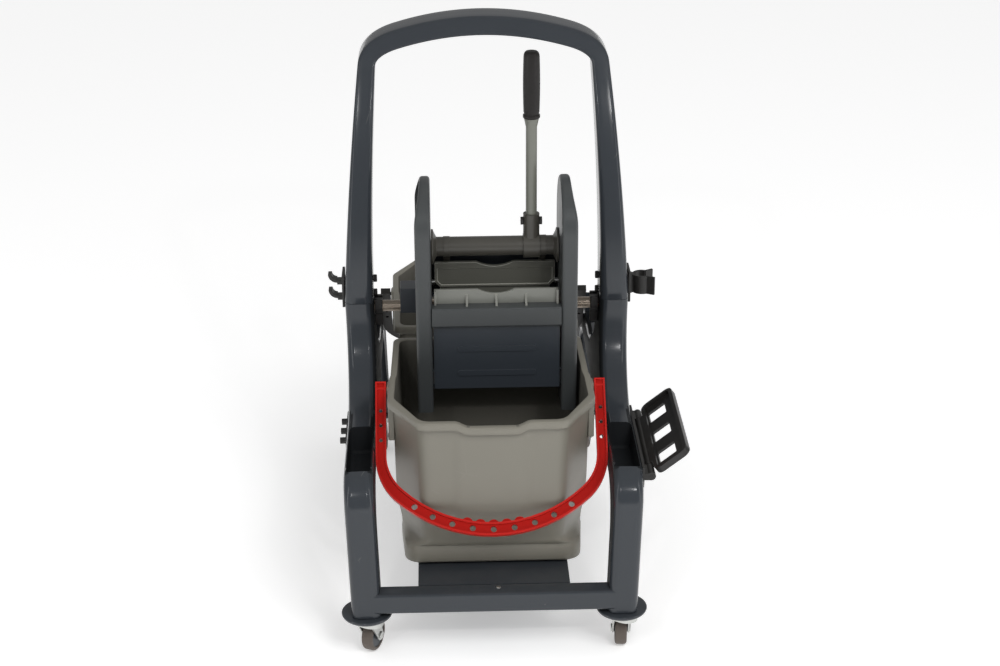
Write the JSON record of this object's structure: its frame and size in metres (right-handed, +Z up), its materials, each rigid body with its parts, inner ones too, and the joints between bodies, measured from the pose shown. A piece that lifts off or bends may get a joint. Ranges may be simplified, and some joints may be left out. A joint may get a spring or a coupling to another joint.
{
  "type": "double mop bucket trolley",
  "caption": "Wheeled mop trolley with paired lift-out buckets, a lever press wringer, a push hoop, swivel casters and side holders.",
  "frame": {"origin": "on the floor at the middle of the trolley", "axes": "+X to the right seen from the wringer end, +Y towards the push end, +Z up"},
  "size_m": [0.5371, 0.7798, 0.864],
  "materials": {
    "frame_slate": "moulded slate grey plastic, glossy",
    "wringer_grey": "moulded grey plastic, satin",
    "dark_plastic": "moulded dark grey plastic",
    "pale_grey": "moulded light grey plastic",
    "bucket_grey": "moulded warm grey plastic",
    "bail_red": "moulded red plastic",
    "black_plastic": "moulded black plastic",
    "grip_rubber": "soft black rubber",
    "steel": "zinc-plated steel",
    "tyre": "dark grey rubber tread"
  },
  "bodies": {
    "frame": {"front_beam": "frame_slate", "rear_beam": "frame_slate", "base_spine": "frame_slate", "left_side_frame": "frame_slate", "right_side_frame": "frame_slate", "push_hoop": "frame_slate", "cross_tube": "steel", "tube_clips": "black_plastic", "corner_bumpers": "dark_plastic", "caster_stems": "steel", "tool_hook": "black_plastic", "peg_rack": "black_plastic", "mop_clamp_base": "black_plastic", "mop_clamp_jaws": "black_plastic", "flap_bracket": "black_plastic", "flap_pin": "steel", "accessory_nuts": "black_plastic", "front_bucket": "bucket_grey", "front_bucket_pins": "bail_red", "front_bucket_feet": "grip_rubber"},
    "front_bail": {"front_bail": "bail_red"},
    "rear_bucket": {"rear_bucket": "bucket_grey", "rear_bucket_pins": "black_plastic", "rear_bucket_feet": "grip_rubber"},
    "rear_bail": {"rear_bail": "black_plastic"},
    "wringer": {"wringer_left_plate": "wringer_grey", "wringer_right_plate": "wringer_grey", "wringer_beam": "wringer_grey", "wringer_skirt": "dark_plastic", "wringer_fixed_plate": "pale_grey", "wringer_rear_tie": "dark_plastic", "wringer_strainer": "dark_plastic", "wringer_hooks": "dark_plastic"},
    "lever": {"press_shaft": "wringer_grey", "press_cranks": "dark_plastic", "lever_socket": "wringer_grey", "lever_arm": "pale_grey", "lever_grip": "grip_rubber", "lever_bolt": "steel"},
    "press": {"press_plate": "wringer_grey", "press_guide_pins": "steel"},
    "flap": {"flap_grid": "black_plastic"},
    "front_left_swivel": {"front_left_fork": "steel", "front_left_axle": "steel"},
    "front_left_wheel": {"front_left_hub": "pale_grey", "front_left_tyre": "tyre"},
    "front_right_swivel": {"front_right_fork": "steel", "front_right_axle": "steel"},
    "front_right_wheel": {"front_right_hub": "pale_grey", "front_right_tyre": "tyre"},
    "rear_left_swivel": {"rear_left_fork": "steel", "rear_left_axle": "steel"},
    "rear_left_wheel": {"rear_left_hub": "pale_grey", "rear_left_tyre": "tyre"},
    "rear_right_swivel": {"rear_right_fork": "steel", "rear_right_axle": "steel"},
    "rear_right_wheel": {"rear_right_hub": "pale_grey", "rear_right_tyre": "tyre"}
  },
  "joints": [
    {"name": "front_bail_hinge", "type": "hinge", "parent": "frame", "child": "front_bail", "pos_m": [0, -0.192, 0.364], "axis": [-1, 0, 0], "range_deg": [0, 136]},
    {"name": "rear_bucket_lift", "type": "slide", "parent": "frame", "child": "rear_bucket", "axis": [0, 0, 1], "range_m": [0, 0.12]},
    {"name": "rear_bail_hinge", "type": "hinge", "parent": "rear_bucket", "child": "rear_bail", "pos_m": [0, 0.192, 0.364], "axis": [1, 0, 0], "range_deg": [0, 136]},
    {"name": "wringer_lift", "type": "slide", "parent": "frame", "child": "wringer", "axis": [0, 0, 1], "range_m": [0, 0.1]},
    {"name": "lever_hinge", "type": "hinge", "parent": "wringer", "child": "lever", "pos_m": [0.012, -0.06, 0.542], "axis": [-1, 0, 0], "range_deg": [0, 65], "stiffness_Nm_per_rad": 1.5, "springref_deg": -22.92},
    {"name": "press_slide", "type": "slide", "parent": "wringer", "child": "press", "axis": [0, -1, 0], "range_m": [0, 0.0535]},
    {"name": "flap_hinge", "type": "hinge", "parent": "frame", "child": "flap", "pos_m": [0.23192, -0.225, 0.27988], "axis": [0, -1, 0], "range_deg": [0, 46]},
    {"name": "front_left_swivel_turn", "type": "hinge", "parent": "frame", "child": "front_left_swivel", "pos_m": [-0.19, -0.352, 0.06], "axis": [0, 0, 1], "continuous": true},
    {"name": "front_left_wheel_spin", "type": "hinge", "parent": "front_left_swivel", "child": "front_left_wheel", "pos_m": [-0.18268, -0.33556, 0.025], "axis": [-0.9135, 0.4067, 0], "continuous": true},
    {"name": "front_right_swivel_turn", "type": "hinge", "parent": "frame", "child": "front_right_swivel", "pos_m": [0.19, -0.352, 0.06], "axis": [0, 0, 1], "continuous": true},
    {"name": "front_right_wheel_spin", "type": "hinge", "parent": "front_right_swivel", "child": "front_right_wheel", "pos_m": [0.19126, -0.33404, 0.025], "axis": [-0.9976, 0.0698, 0], "continuous": true},
    {"name": "rear_left_swivel_turn", "type": "hinge", "parent": "frame", "child": "rear_left_swivel", "pos_m": [-0.19, 0.352, 0.06], "axis": [0, 0, 1], "continuous": true},
    {"name": "rear_left_wheel_spin", "type": "hinge", "parent": "rear_left_swivel", "child": "rear_left_wheel", "pos_m": [-0.18626, 0.33439, 0.025], "axis": [0.9781, 0.2079, 0], "continuous": true},
    {"name": "rear_right_swivel_turn", "type": "hinge", "parent": "frame", "child": "rear_right_swivel", "pos_m": [0.19, 0.352, 0.06], "axis": [0, 0, 1], "continuous": true},
    {"name": "rear_right_wheel_spin", "type": "hinge", "parent": "rear_right_swivel", "child": "rear_right_wheel", "pos_m": [0.18687, 0.33427, 0.025], "axis": [0.9848, -0.1736, 0], "continuous": true}
  ],
  "couplings": [
    {"joint": "press_slide", "follows": "lever_hinge", "m_per_rad": 0.046718}
  ]
}
